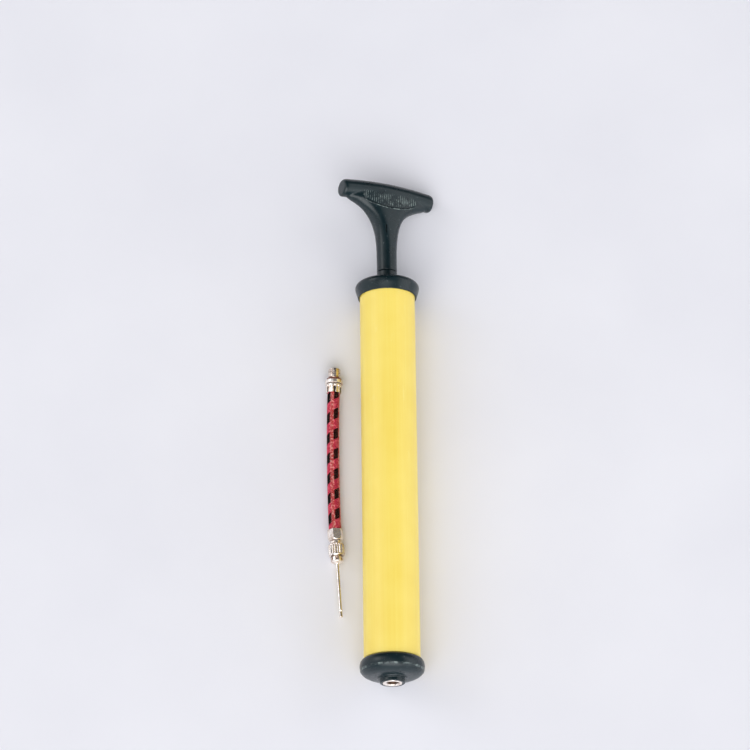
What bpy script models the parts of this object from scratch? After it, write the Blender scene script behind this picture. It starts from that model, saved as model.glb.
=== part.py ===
"""Hand pump for inflating balls, lying on a table with its hose and needle beside it.

The pump lies along +Y with its outlet towards -Y. Every turned piece of it is drawn on its own
local Z axis, with heights measured from the outlet's face, and hangs from the empty pump_axis.
The pieces at the two ends of the hose are drawn the same way, on two empties of their own.
Dimensions are in millimetres up to the point where a mesh is made.
"""

import math

import bmesh
import bpy
from mathutils import Matrix, Vector

MM = 0.001
GAP = 0.3  # between pieces that touch in the real pump
RUNNING_GAP = 0.2  # round a shaft that slides or turns

# Facets of a turned piece. Two more than a multiple of four leaves a flat at the very bottom.
LARGE_SIDES = 30
SMALL_SIDES = 18

# Pump: heights along its axis, from the outlet's face.
PUMP_LENGTH = 304.8  # twelve inches
BOSS_TOP = 3.7
CAP_WIDEST = 9.4
BARREL_BOTTOM = 14.2
SPIGOT_TOP = 24.0
COLLAR_BOTTOM = 232.7
BARREL_TOP = 238.3
COLLAR_WIDEST = 238.8
COLLAR_SHOULDER = 242.0
NECK_BOTTOM = 249.0
PIN_HEIGHT = 275.0
ROD_TOP = 281.0

# Pump: radii.
BARREL_RADIUS = 16.0
BARREL_BORE = 14.3
CAP_RADIUS = 18.4
COLLAR_RADIUS = 18.65
OUTLET_BOSS_RADIUS = 7.2
INSERT_RADIUS = 5.6
OUTLET_THREAD_RADIUS = 3.65
ROD_RADIUS = 4.0
STUD_RADIUS = 2.0
NECK_RADIUS = 5.85
PIN_RADIUS = 1.2

# T-handle.
HANDLE_HALF_LENGTH = 29.3
HANDLE_TURN = math.radians(27.5)  # its low end rests on the table
BAR_DROOP = 1.9  # of its ends
BAR_END_HALF_HEIGHT = 5.3
BAR_MIDDLE_HALF_HEIGHT = 5.5
BAR_END_HALF_DEPTH = 5.8
BAR_MIDDLE_HALF_DEPTH = 6.8
FLARE_BOTTOM = 262.0
FLARE_TOP = 292.5
FLARE_SPREAD = 20.4
FLARE_DECAY = 6.2
FLARE_DEEPENING = 0.7
FLARE_SQUARENESS = 0.35

# Check valve in the end cap.
VALVE_CHAMBER_RADIUS = 3.6
VALVE_CHAMBER_TOP = 17.0
INSERT_TOP = 8.0
BALL_RADIUS = 2.4
BALL_HEIGHT = 14.1
SEAT_RADIUS = 2.6
SEAT_SECTION = 0.75
SPRING_TOP = 12.0
SPRING_WIRE = 0.25

# Piston, with the plunger pushed right in.
PISTON_BOTTOM = 30.6
RING_GROOVE_BOTTOM = 33.4
RING_GROOVE_TOP = 38.2
PISTON_TOP = 44.6
RING_SECTION = 1.75
RING_RADIUS = 12.3
PISTON_RADIUS = 14.0

# Hose kit. Each end has its own axis, from the point where the hose comes out of its ferrule.
HOSE_RADIUS = 3.6
LINER_RADIUS = 2.45
LINER_BORE = 1.6
NIPPLE_RADIUS = 1.3
AIR_RADIUS = 0.7
CONNECTOR_END = (-31.78, 26.5, 5.35)
CONNECTOR_ANGLE = math.radians(2.2)
NEEDLE_END = (-31.62, -56.7, 4.65)
NEEDLE_ANGLE = math.radians(3.3)
FERRULE_BORE = 3.85
CONNECTOR_FERRULE_LENGTH = 5.4
FLANGE_RADIUS = 5.3
CONNECTOR_THREAD_RADIUS = 3.6
THREAD_PITCH = 1.0
THREAD_DEPTH = 0.45
NEEDLE_FERRULE_LENGTH = 6.6
HEX_ACROSS_FLATS = 8.0
NUT_START = 8.6
NUT_END = 15.9
NUT_RADIUS = 4.6
NEEDLE_RADIUS = 0.95
NEEDLE_TIP = 52.7

# The route of the hose from inside one ferrule to inside the other. Its middle rests on the table.
HOSE_ROUTE = [
    (-31.59, 31.49, 5.35),
    (-31.66, 29.50, 5.35),
    (-31.78, 26.50, 5.33),
    (-31.98, 22.80, 5.22),
    (-32.16, 17.00, 4.92),
    (-32.29, 11.20, 4.48),
    (-32.38, 4.50, 4.04),
    (-32.43, -2.20, 3.78),
    (-32.45, -9.00, 3.70),
    (-32.44, -16.00, 3.70),
    (-32.40, -23.00, 3.70),
    (-32.33, -30.00, 3.74),
    (-32.21, -37.00, 3.90),
    (-32.04, -44.20, 4.20),
    (-31.87, -50.20, 4.47),
    (-31.77, -53.30, 4.58),
    (-31.62, -56.70, 4.65),
    (-31.45, -59.70, 4.65),
    (-31.27, -62.70, 4.65),
]
HOSE_SAMPLES = 22


def clear_scene():
    """An empty file, so that the script can be run again."""
    for obj in list(bpy.data.objects):
        bpy.data.objects.remove(obj, do_unlink=True)


def new_collection(name):
    """A collection in the scene."""
    found = bpy.data.collections.new(name)
    bpy.context.scene.collection.children.link(found)
    return found


def material(name, colour, roughness, metallic=0.0):
    """A Principled material of one colour."""
    made = bpy.data.materials.new(name)
    made.use_nodes = True
    shader = made.node_tree.nodes["Principled BSDF"]
    shader.inputs["Base Color"].default_value = (*colour, 1.0)
    shader.inputs["Roughness"].default_value = roughness
    shader.inputs["Metallic"].default_value = metallic
    return made


def axis_empty(name, location, rotation):
    """An empty whose local Z is the axis of the pieces that hang from it."""
    empty = bpy.data.objects.new(name, None)
    empty.location = Vector(location) * MM
    empty.rotation_euler = rotation
    PARTS.objects.link(empty)
    return empty


def place(obj, parent, finish=None, turn=0.0, cutter=False):
    """Links the object, hangs it from an axis and gives it its material."""
    (CUTTERS if cutter else PARTS).objects.link(obj)
    obj.parent = parent
    obj.rotation_euler = (0.0, 0.0, turn)
    if finish:
        obj.data.materials.append(finish)
    if cutter:
        obj.hide_render = True
        obj.display_type = "WIRE"
    return obj


def smooth(mesh):
    """Round surfaces shade smooth and edges stay crisp."""
    mesh.shade_smooth()
    mesh.set_sharp_from_angle(angle=math.radians(35))


def turned(name, outline, parent, finish=None, sides=SMALL_SIDES, turn=0.0, cutter=False):
    """A turned piece. The outline is (radius, height), down the outside and back up any bore."""
    mesh = bpy.data.meshes.new(name)
    points = [(radius * MM, 0.0, height * MM) for radius, height in outline]
    edges = [(i, i + 1) for i in range(len(points) - 1)]
    if outline[0][0] > 0:
        edges.append((len(points) - 1, 0))
    mesh.from_pydata(points, edges, [])
    obj = place(bpy.data.objects.new(name, mesh), parent, finish, turn, cutter)
    screw = obj.modifiers.new("Turn", "SCREW")
    screw.angle = math.tau
    screw.steps = sides
    screw.render_steps = sides
    screw.use_merge_vertices = True
    screw.merge_threshold = 0.00001
    screw.use_smooth_shade = True
    return obj


def arc(centre, radius, start, end, steps):
    """Points of an arc in an outline, with angles in degrees from the direction of the radius."""
    points = []
    for i in range(steps + 1):
        angle = math.radians(start + (end - start) * i / steps)
        points.append((centre[0] + radius * math.cos(angle), centre[1] + radius * math.sin(angle)))
    return points


def ring(name, radius, section, height, parent, finish, sides=SMALL_SIDES, section_sides=10):
    """An O-ring."""
    outline = arc((radius, height), section, 90, -270, section_sides)[:-1]
    return turned(name, outline, parent, finish, sides)


def loft(name, rings, parent, finish=None, turn=0.0, cutter=False):
    """A closed skin over rings of points, with both ends capped. Rings run counter-clockwise."""
    mesh = bpy.data.meshes.new(name)
    build = bmesh.new()
    rows = [[build.verts.new(Vector(p) * MM) for p in points] for points in rings]
    count = len(rows[0])
    for lower, upper in zip(rows, rows[1:]):
        for i in range(count):
            j = (i + 1) % count
            build.faces.new((lower[i], lower[j], upper[j], upper[i]))
    build.faces.new(reversed(rows[0]))
    build.faces.new(rows[-1])
    bmesh.ops.recalc_face_normals(build, faces=build.faces)
    build.to_mesh(mesh)
    build.free()
    smooth(mesh)
    return place(bpy.data.objects.new(name, mesh), parent, finish, turn, cutter)


def prism(name, corners, radius, bottom, top, parent, turn=0.0):
    """A cutter with a regular outline, such as a hexagon; radius is to its corners."""
    mesh = bpy.data.meshes.new(name)
    build = bmesh.new()
    middle = Matrix.Translation((0, 0, (bottom + top) / 2 * MM))
    bmesh.ops.create_cone(
        build,
        cap_ends=True,
        segments=corners,
        radius1=radius * MM,
        radius2=radius * MM,
        depth=(top - bottom) * MM,
        matrix=middle,
    )
    build.to_mesh(mesh)
    build.free()
    return place(bpy.data.objects.new(name, mesh), parent, turn=turn, cutter=True)


def block(name, size, centre, parent, turn=0.0):
    """A box-shaped cutter; centre is given before the turn about the axis."""
    mesh = bpy.data.meshes.new(name)
    build = bmesh.new()
    stretch = Matrix.Diagonal((*(side * MM for side in size), 1.0))
    bmesh.ops.create_cube(build, matrix=Matrix.Translation(Vector(centre) * MM) @ stretch)
    build.to_mesh(mesh)
    build.free()
    return place(bpy.data.objects.new(name, mesh), parent, turn=turn, cutter=True)


def crossbar(name, radius, length, height, parent, turn=0.0, cutter=True, finish=None):
    """A cylinder square to the axis, along local Y before the turn."""
    mesh = bpy.data.meshes.new(name)
    build = bmesh.new()
    across = Matrix.Translation((0, 0, height * MM)) @ Matrix.Rotation(math.radians(90), 4, "X")
    bmesh.ops.create_cone(
        build,
        cap_ends=True,
        segments=16,
        radius1=radius * MM,
        radius2=radius * MM,
        depth=length * MM,
        matrix=across,
    )
    build.to_mesh(mesh)
    build.free()
    smooth(mesh)
    return place(bpy.data.objects.new(name, mesh), parent, finish, turn, cutter)


def combine(obj, other, operation="DIFFERENCE"):
    """A Boolean of two meshes."""
    modifier = obj.modifiers.new(operation.title(), "BOOLEAN")
    modifier.operation = operation
    modifier.object = other
    return obj


def tube(name, line, radius, resolution, cutter=False):
    """A mesh tube along a line of world points."""
    curve = bpy.data.curves.new(name, "CURVE")
    curve.dimensions = "3D"
    curve.bevel_depth = radius * MM
    curve.bevel_resolution = resolution
    curve.use_fill_caps = True
    spline = curve.splines.new("POLY")
    spline.points.add(len(line) - 1)
    for point, place_at in zip(spline.points, line):
        point.co = (*(Vector(place_at) * MM), 1.0)
    guide = bpy.data.objects.new(name + "_line", curve)
    PARTS.objects.link(guide)
    bpy.context.view_layer.update()
    evaluated = guide.evaluated_get(bpy.context.evaluated_depsgraph_get())
    mesh = bpy.data.meshes.new_from_object(evaluated)
    build = bmesh.new()
    build.from_mesh(mesh)
    bmesh.ops.remove_doubles(build, verts=build.verts, dist=0.00001)
    bmesh.ops.recalc_face_normals(build, faces=build.faces)
    build.to_mesh(mesh)
    build.free()
    bpy.data.objects.remove(guide, do_unlink=True)
    obj = bpy.data.objects.new(name, mesh)
    return place(obj, None, cutter=cutter)


def smooth_line(points, samples, overshoot=0.0):
    """Evenly spaced points on a Catmull-Rom curve through the given ones, and on past its ends."""
    route = [Vector(p) for p in points]
    first = route[0] + (route[0] - route[1]).normalized()
    last = route[-1] + (route[-1] - route[-2]).normalized()
    padded = [first, *route, last]
    fine = []
    for a, b, c, d in zip(padded, padded[1:], padded[2:], padded[3:]):
        for i in range(12):
            t = i / 12
            square = (2 * a - 5 * b + 4 * c - d) * t**2
            cubic = (3 * b - a - 3 * c + d) * t**3
            fine.append((2 * b + (c - a) * t + square + cubic) / 2)
    fine.append(route[-1])
    lengths = [0.0]
    for a, b in zip(fine, fine[1:]):
        lengths.append(lengths[-1] + (b - a).length)
    line = []
    k = 0
    for i in range(samples):
        at = lengths[-1] * i / (samples - 1)
        while k < len(fine) - 2 and lengths[k + 1] < at:
            k += 1
        share = (at - lengths[k]) / (lengths[k + 1] - lengths[k])
        line.append(fine[k].lerp(fine[k + 1], share))
    if overshoot:
        line[0] += (line[0] - line[1]).normalized() * overshoot
        line[-1] += (line[-1] - line[-2]).normalized() * overshoot
    return line


def smoothstep(t):
    """0 to 1 with a soft start and end."""
    t = min(1.0, max(0.0, t))
    return t * t * (3 - 2 * t)


def oval(half_width, half_depth, height, count, fullness):
    """A ring of points round the axis: an ellipse at a fullness of 1, with squarer ends below that."""
    points = []
    for i in range(count):
        across = math.cos(math.tau * i / count)
        deep = math.sin(math.tau * i / count)
        x = half_width * math.copysign(abs(across) ** fullness, across)
        y = half_depth * math.copysign(abs(deep) ** fullness, deep)
        points.append((x, y, height))
    return points


# Pump body


def make_barrel():
    """The tube that the piston slides in."""
    edge = 0.4
    outline = [
        (BARREL_BORE + edge, BARREL_TOP),
        (BARREL_RADIUS - edge, BARREL_TOP),
        (BARREL_RADIUS, BARREL_TOP - edge),
        (BARREL_RADIUS, BARREL_BOTTOM + edge),
        (BARREL_RADIUS - edge, BARREL_BOTTOM),
        (BARREL_BORE + edge, BARREL_BOTTOM),
        (BARREL_BORE, BARREL_BOTTOM + edge),
        (BARREL_BORE, BARREL_TOP - edge),
    ]
    turned("barrel", outline, PUMP, YELLOW, LARGE_SIDES)


def make_end_cap():
    """The rounded cap at the outlet: a spigot in the barrel, an outlet boss and the valve's tower."""
    spigot = BARREL_BORE - GAP
    shoulder = BARREL_BOTTOM - GAP
    seal_middle = 19.3
    groove = 12.75
    tower = 6.4
    pocket = 11.7
    pocket_floor = 7.2
    outline = [
        (pocket, SPIGOT_TOP),
        (spigot - 0.5, SPIGOT_TOP),
        (spigot, SPIGOT_TOP - 0.5),
        (spigot, seal_middle + 1.1),
        (groove, seal_middle + 1.1),
        (groove, seal_middle - 1.1),
        (spigot, seal_middle - 1.1),
        (spigot, shoulder),
        (BARREL_RADIUS + 0.2, shoulder),
        (17.45, 13.2),
        (18.2, 11.5),
        (CAP_RADIUS, CAP_WIDEST),
        (18.05, 7.5),
        (17.0, 5.7),
        (15.2, 4.4),
        (13.0, BOSS_TOP),
        (OUTLET_BOSS_RADIUS + 0.3, BOSS_TOP),
        (OUTLET_BOSS_RADIUS + 0.3, 2.0),
        (OUTLET_BOSS_RADIUS, 1.8),
        (OUTLET_BOSS_RADIUS, 0.6),
        (OUTLET_BOSS_RADIUS - 0.5, 0.15),
        (INSERT_RADIUS + 0.25, 0.15),
        (INSERT_RADIUS + 0.25, INSERT_TOP + 0.2),
        (VALVE_CHAMBER_RADIUS, INSERT_TOP + 0.2),
        (VALVE_CHAMBER_RADIUS, VALVE_CHAMBER_TOP),
        (1.8, VALVE_CHAMBER_TOP),
        (1.8, 20.6),
        (3.0, 22.0),
        (tower, 22.0),
        (tower, pocket_floor),
        (pocket, pocket_floor),
    ]
    turned("end_cap", outline, PUMP, BLACK, LARGE_SIDES)
    ring("end_cap_seal", groove + 0.75, 0.62, seal_middle, PUMP, RUBBER, LARGE_SIDES, 8)


def make_outlet_insert():
    """The pressed-in metal socket that the hose screws into, with its thread as grooves."""
    crest = OUTLET_THREAD_RADIUS - 0.25
    outline = [(INSERT_RADIUS, INSERT_TOP), (INSERT_RADIUS, 0.4), (INSERT_RADIUS - 0.4, 0.0)]
    outline += [(OUTLET_THREAD_RADIUS + 0.4, 0.0), (OUTLET_THREAD_RADIUS, 0.4)]
    for i in range(5):
        start = 0.5 + i * THREAD_PITCH * 1.1
        outline += [(crest, start + 0.4), (OUTLET_THREAD_RADIUS, start + 0.95)]
    outline += [(crest, 6.6), (1.4, 6.6), (1.4, INSERT_TOP)]
    turned("outlet_insert", outline, PUMP, NICKEL)


def make_check_valve():
    """The ball that the spring holds up against its rubber seat, so that air leaves but can't return."""
    ring("valve_seat", SEAT_RADIUS, SEAT_SECTION, VALVE_CHAMBER_TOP - SEAT_SECTION - 0.15, PUMP, RUBBER)
    ball = turned("valve_ball", arc((0, BALL_HEIGHT), BALL_RADIUS, 90, -90, 10), PUMP, STEEL, 20)
    ball.data.vertices[0].co.x = 0.0
    ball.data.vertices[-1].co.x = 0.0
    turns = 4
    start = INSERT_TOP + SPRING_WIRE + 0.1
    points_a_turn = 12
    count = turns * points_a_turn
    line = []
    for i in range(count + 1):
        angle = math.tau * i / points_a_turn
        height = start + (SPRING_TOP - start) * i / count
        line.append(PUMP_MATRIX @ Vector((1.75 * math.cos(angle), 1.75 * math.sin(angle), height)))
    tube("valve_spring", line, SPRING_WIRE, 1).data.materials.append(STEEL)


def make_collar():
    """The top cap: a skirt over the barrel, a ring inside it, a hub for the bush and a boss."""
    skirt = BARREL_RADIUS + GAP
    inner_ring = BARREL_BORE - GAP
    hub = 8.2
    hub_bottom = 229.0
    bush_seat = 6.2
    bush_top = 240.0
    outline = [
        (ROD_RADIUS + RUNNING_GAP + 0.1, NECK_BOTTOM - GAP),
        (NECK_RADIUS - 0.3, NECK_BOTTOM - GAP),
        (NECK_RADIUS, NECK_BOTTOM - 0.6),
        (NECK_RADIUS, 244.2),
        (6.6, 242.9),
        (8.2, 242.35),
        (14.2, COLLAR_SHOULDER),
        (16.9, 241.2),
        (18.1, 240.1),
        (COLLAR_RADIUS, COLLAR_WIDEST),
        (18.4, 237.6),
        (17.35, 234.2),
        (16.95, COLLAR_BOTTOM),
        (skirt, COLLAR_BOTTOM),
        (skirt, BARREL_TOP + GAP),
        (inner_ring, BARREL_TOP + GAP),
        (inner_ring, 230.0),
        (12.6, 230.0),
        (12.6, BARREL_TOP + GAP),
        (hub, BARREL_TOP + GAP),
        (hub, hub_bottom),
        (bush_seat, hub_bottom),
        (bush_seat, bush_top),
        (ROD_RADIUS + RUNNING_GAP + 0.1, bush_top),
    ]
    turned("collar", outline, PUMP, BLACK, LARGE_SIDES)
    bush_bottom = hub_bottom + 0.6
    bush = [
        (ROD_RADIUS + RUNNING_GAP, bush_top - GAP),
        (bush_seat - GAP + 0.05, bush_top - GAP),
        (bush_seat - GAP + 0.05, bush_bottom),
        (ROD_RADIUS + RUNNING_GAP, bush_bottom),
    ]
    turned("rod_bush", bush, PUMP, NYLON)
    bumper = [(4.45, 228.7), (8.0, 228.7), (8.0, 223.6), (7.4, 223.0), (5.0, 223.0), (4.45, 223.6)]
    turned("top_bumper", bumper, PUMP, RUBBER)


# Plunger


def make_piston():
    """The piston head with its floating ring, which lets air past on the pull and seals on the push."""
    bore = STUD_RADIUS + RUNNING_GAP + 0.1
    lower = 13.4
    groove = 10.2
    outline = [
        (bore, PISTON_TOP),
        (7.0, PISTON_TOP),
        (7.0, 41.6),
        (PISTON_RADIUS - 0.4, 41.4),
        (PISTON_RADIUS, 41.0),
        (PISTON_RADIUS, RING_GROOVE_TOP),
        (groove, RING_GROOVE_TOP),
        (groove, RING_GROOVE_BOTTOM),
        (lower, RING_GROOVE_BOTTOM),
        (lower, PISTON_BOTTOM + 0.5),
        (lower - 0.5, PISTON_BOTTOM),
        (bore, PISTON_BOTTOM),
    ]
    piston = turned("piston_body", outline, PUMP, NYLON, LARGE_SIDES)
    slots = 4
    for i in range(slots):
        middle = (12.4, 0.0, (PISTON_BOTTOM + RING_GROOVE_BOTTOM) / 2)
        size = (5.0, 3.0, RING_GROOVE_BOTTOM - PISTON_BOTTOM + 1.0)
        combine(piston, block(f"air_slot_{i}", size, middle, PUMP, math.tau * (i + 0.5) / slots))
    ring_height = RING_GROOVE_TOP - RING_SECTION - 0.1
    ring("piston_ring", RING_RADIUS, RING_SECTION, ring_height, PUMP, RUBBER, LARGE_SIDES, 10)


def washer(name, top, thickness, radius, bore, finish, parent):
    """A flat washer."""
    bottom = top - thickness
    turned(name, [(bore, top), (radius, top), (radius, bottom), (bore, bottom)], parent, finish)


def make_rod():
    """The tubular rod, the stud plugged into its end, and the nut and washers that hold the piston."""
    tube_bottom = 48.0
    bore = 3.1
    rod = [(bore, ROD_TOP), (ROD_RADIUS, ROD_TOP), (ROD_RADIUS, tube_bottom), (bore, tube_bottom)]
    combine(
        turned("plunger_rod", rod, PUMP, CHROME),
        crossbar("rod_pin_hole", PIN_RADIUS + 0.15, 12.0, PIN_HEIGHT, PUMP, HANDLE_TURN),
    )
    stud = [
        (0.0, 60.0),
        (bore - 0.4, 60.0),
        (bore - 0.15, 59.6),
        (bore - 0.15, tube_bottom - 0.2),
        (ROD_RADIUS, tube_bottom - 0.2),
        (ROD_RADIUS, 45.9),
        (STUD_RADIUS, 45.9),
        (STUD_RADIUS, 25.9),
        (STUD_RADIUS - 0.4, 25.5),
        (0.0, 25.5),
    ]
    turned("rod_stud", stud, PUMP, STEEL)
    bore = STUD_RADIUS + RUNNING_GAP
    washer("upper_washer", 45.7, 0.8, 5.5, bore, STEEL, PUMP)
    washer("lower_washer", 30.4, 0.8, 4.8, bore, STEEL, PUMP)
    half_flat = 3.5
    corner = half_flat / math.cos(math.radians(30))
    chamfer = 0.35
    nut_top = 29.4
    nut_bottom = 26.2
    nut = turned(
        "piston_nut",
        [
            (bore, nut_top),
            (half_flat, nut_top),
            (corner, nut_top - chamfer),
            (corner, nut_bottom + chamfer),
            (half_flat, nut_bottom),
            (bore, nut_bottom),
        ],
        PUMP,
        STEEL,
    )
    combine(nut, prism("nut_hexagon", 6, corner, nut_bottom - 1, nut_top + 1, PUMP), "INTERSECT")


def bar_ring(along, share, count=20):
    """A section of the handle's bar at a distance along it, with its top edge at the pump's end."""
    middle = smoothstep(1 - abs(along) / HANDLE_HALF_LENGTH)
    half_height = BAR_END_HALF_HEIGHT + (BAR_MIDDLE_HALF_HEIGHT - BAR_END_HALF_HEIGHT) * middle
    half_depth = BAR_END_HALF_DEPTH + (BAR_MIDDLE_HALF_DEPTH - BAR_END_HALF_DEPTH) * middle
    centre = PUMP_LENGTH - BAR_DROOP * (along / HANDLE_HALF_LENGTH) ** 2 - half_height
    angles = [math.tau * (i + 0.5) / count for i in range(count)]
    return [
        (along, half_depth * share * math.cos(a), centre + half_height * share * math.sin(a))
        for a in angles
    ]


def neck_ring(height, count=24):
    """A section of the handle's neck, which flares into the bar."""
    flare = FLARE_SPREAD * math.exp((height - FLARE_TOP) / FLARE_DECAY)
    half_width = min(HANDLE_HALF_LENGTH - 3.0, NECK_RADIUS + flare)
    deepening = FLARE_DEEPENING * smoothstep((height - FLARE_BOTTOM) / 30.0)
    squareness = FLARE_SQUARENESS * smoothstep((height - FLARE_BOTTOM) / 20.0)
    squareness *= smoothstep((FLARE_TOP - height) / 10.0)
    return oval(half_width, NECK_RADIUS + deepening, height, count, 1 - squareness)


def make_handle():
    """The T-handle, moulded over the rod's end, and the pin that fastens it there."""
    ends = [(0.0, 0.80), (0.35, 0.92), (1.1, 0.985), (2.4, 1.0)]
    stations = [(HANDLE_HALF_LENGTH - inset, share) for inset, share in ends]
    stations += [(22.0, 1.0), (14.0, 1.0), (6.0, 1.0)]
    left = [bar_ring(-along, share) for along, share in stations]
    right = [bar_ring(along, share) for along, share in reversed(stations)]
    handle = loft("t_handle", [*left, bar_ring(0.0, 1.0), *right], PUMP, BLACK, HANDLE_TURN)
    heights = [NECK_BOTTOM, 262.0, 268.0, 273.0, 277.5, 281.5, 285.0, 288.0, 290.5, 293.0, 295.5, 298.0]
    neck = loft("handle_neck", [neck_ring(h) for h in heights], PUMP, turn=HANDLE_TURN, cutter=True)
    combine(handle, neck, "UNION")
    bore = [(0.0, ROD_TOP + 1.0), (4.25, ROD_TOP + 1.0), (4.25, NECK_BOTTOM - 2.0), (0.0, NECK_BOTTOM - 2.0)]
    combine(handle, turned("handle_bore", bore, PUMP, cutter=True))
    combine(
        handle,
        crossbar("handle_pin_hole", PIN_RADIUS + 0.15, 30.0, PIN_HEIGHT, PUMP, HANDLE_TURN),
    )
    crossbar("handle_pin", PIN_RADIUS, 10.0, PIN_HEIGHT, PUMP, HANDLE_TURN, False, STEEL)


# Hose kit


def make_connector():
    """The end that screws into the pump: a nipple in the hose, a flange, a gasket and a thread."""
    flange_bottom = CONNECTOR_FERRULE_LENGTH + GAP
    flange_top = 7.7
    thread_bottom = 9.3
    thread_top = 14.9
    root = CONNECTOR_THREAD_RADIUS - THREAD_DEPTH
    outline = [(1.6, thread_top), (root + 0.1, thread_top)]
    rings = int((thread_top - thread_bottom) / THREAD_PITCH)
    for i in range(rings):
        crest = thread_top - (i + 0.5) * THREAD_PITCH
        outline.append((CONNECTOR_THREAD_RADIUS, crest))
        outline.append((root, crest - THREAD_PITCH / 2))
    outline += [
        (root, thread_bottom),
        (2.9, thread_bottom),
        (2.9, flange_top),
        (FLANGE_RADIUS - 0.3, flange_top),
        (FLANGE_RADIUS, flange_top - 0.3),
        (FLANGE_RADIUS, flange_bottom + 0.3),
        (FLANGE_RADIUS - 0.3, flange_bottom),
        (NIPPLE_RADIUS, flange_bottom),
        (NIPPLE_RADIUS, -5.0),
        (AIR_RADIUS, -5.0),
        (AIR_RADIUS, 9.0),
        (1.6, 10.0),
    ]
    turned("hose_connector", outline, CONNECTOR, NICKEL)
    washer("connector_gasket", flange_top + 1.2, 1.0, 4.3, 3.1, RED_RUBBER, CONNECTOR)


def fluted_ring(radius, depth, flutes, height, count):
    """A ring with flutes round it."""
    points = []
    for i in range(count):
        angle = math.tau * i / count
        wave = radius - depth * (0.5 - 0.5 * math.cos(flutes * angle))
        points.append((wave * math.cos(angle), wave * math.sin(angle), height))
    return points


def make_connector_ferrule():
    """The fluted sleeve crimped over the hose's upper end."""
    count = 60
    flutes = 10
    sections = [(0.0, 4.15, 0.0), (0.35, 4.35, 0.0), (1.0, 4.45, 0.2), (4.3, 4.5, 0.25), (5.0, 4.5, 0.0)]
    sections.append((CONNECTOR_FERRULE_LENGTH, 4.3, 0.0))
    rings = [fluted_ring(radius, depth, flutes, height, count) for height, radius, depth in sections]
    ferrule = loft("connector_ferrule", rings, CONNECTOR, NICKEL)
    floor = CONNECTOR_FERRULE_LENGTH - 0.35
    bore = [(0.0, 7.0), (1.6, 7.0), (1.6, floor), (FERRULE_BORE, floor), (FERRULE_BORE, -1.0), (0.0, -1.0)]
    combine(ferrule, turned("connector_ferrule_bore", bore, CONNECTOR, cutter=True))


def make_hose():
    """The hose itself: a braided sleeve over a rubber liner, each a hollow tube."""
    line = smooth_line(HOSE_ROUTE, HOSE_SAMPLES)
    longer = smooth_line(HOSE_ROUTE, HOSE_SAMPLES, 1.0)
    braid = tube("hose_braid", line, HOSE_RADIUS, 2)
    braid.data.materials.append(BRAID)
    combine(braid, tube("braid_bore", longer, LINER_RADIUS + GAP, 2, cutter=True))
    liner = tube("hose_liner", line, LINER_RADIUS, 2)
    liner.data.materials.append(RUBBER)
    combine(liner, tube("liner_bore", longer, LINER_BORE + 0.1, 2, cutter=True))


def make_needle_ferrule():
    """The hexagonal sleeve crimped over the hose's lower end."""
    corner = HEX_ACROSS_FLATS / 2 / math.cos(math.radians(30))
    half_flat = HEX_ACROSS_FLATS / 2
    top = NEEDLE_FERRULE_LENGTH
    floor = top - 0.35
    outline = [
        (1.7, top),
        (half_flat - 0.3, top),
        (corner, top - 0.9),
        (corner, 0.3),
        (corner - 0.3, 0.0),
        (FERRULE_BORE, 0.0),
        (FERRULE_BORE, floor),
        (1.7, floor),
    ]
    ferrule = turned("needle_ferrule", outline, NEEDLE, NICKEL)
    combine(ferrule, prism("ferrule_hexagon", 6, corner, -1, top + 1, NEEDLE, FERRULE_TURN), "INTERSECT")


def make_needle_adapter():
    """The hose's lower fitting: a nipple, a neck and the flange that keeps the nut on."""
    neck = 2.25
    outline = [
        (AIR_RADIUS, 10.1),
        (3.5, 10.1),
        (3.7, 9.9),
        (3.7, 9.3),
        (neck, 9.3),
        (neck, 8.4),
        (3.2, 8.4),
        (3.4, 8.1),
        (3.4, 7.2),
        (3.2, NEEDLE_FERRULE_LENGTH + GAP),
        (NIPPLE_RADIUS, NEEDLE_FERRULE_LENGTH + GAP),
        (NIPPLE_RADIUS, -5.0),
        (AIR_RADIUS, -5.0),
    ]
    turned("needle_adapter", outline, NEEDLE, NICKEL)
    washer("needle_gasket", 10.85, 0.5, 3.0, 1.0, RED_RUBBER, NEEDLE)


def make_coupling_nut():
    """The fluted nut that spins on the adapter and draws the needle's thread in."""
    count = 48
    flutes = 12
    sections = [(NUT_START, 4.2, 0.0), (NUT_START + 0.5, NUT_RADIUS, 0.0), (9.9, NUT_RADIUS, 0.3)]
    sections += [(15.0, NUT_RADIUS, 0.3), (NUT_END - 0.4, NUT_RADIUS, 0.0), (NUT_END, 4.2, 0.0)]
    rings = [fluted_ring(radius, depth, flutes, height, count) for height, radius, depth in sections]
    nut = loft("coupling_nut", rings, NEEDLE, NICKEL)
    bore = [
        (0.0, NUT_END + 1),
        (3.3, NUT_END + 1),
        (3.3, 10.9),
        (4.0, 10.9),
        (4.0, 9.0),
        (2.5, 9.0),
        (2.5, NUT_START - 1),
        (0.0, NUT_START - 1),
    ]
    combine(nut, turned("nut_bore", bore, NEEDLE, cutter=True))


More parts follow.
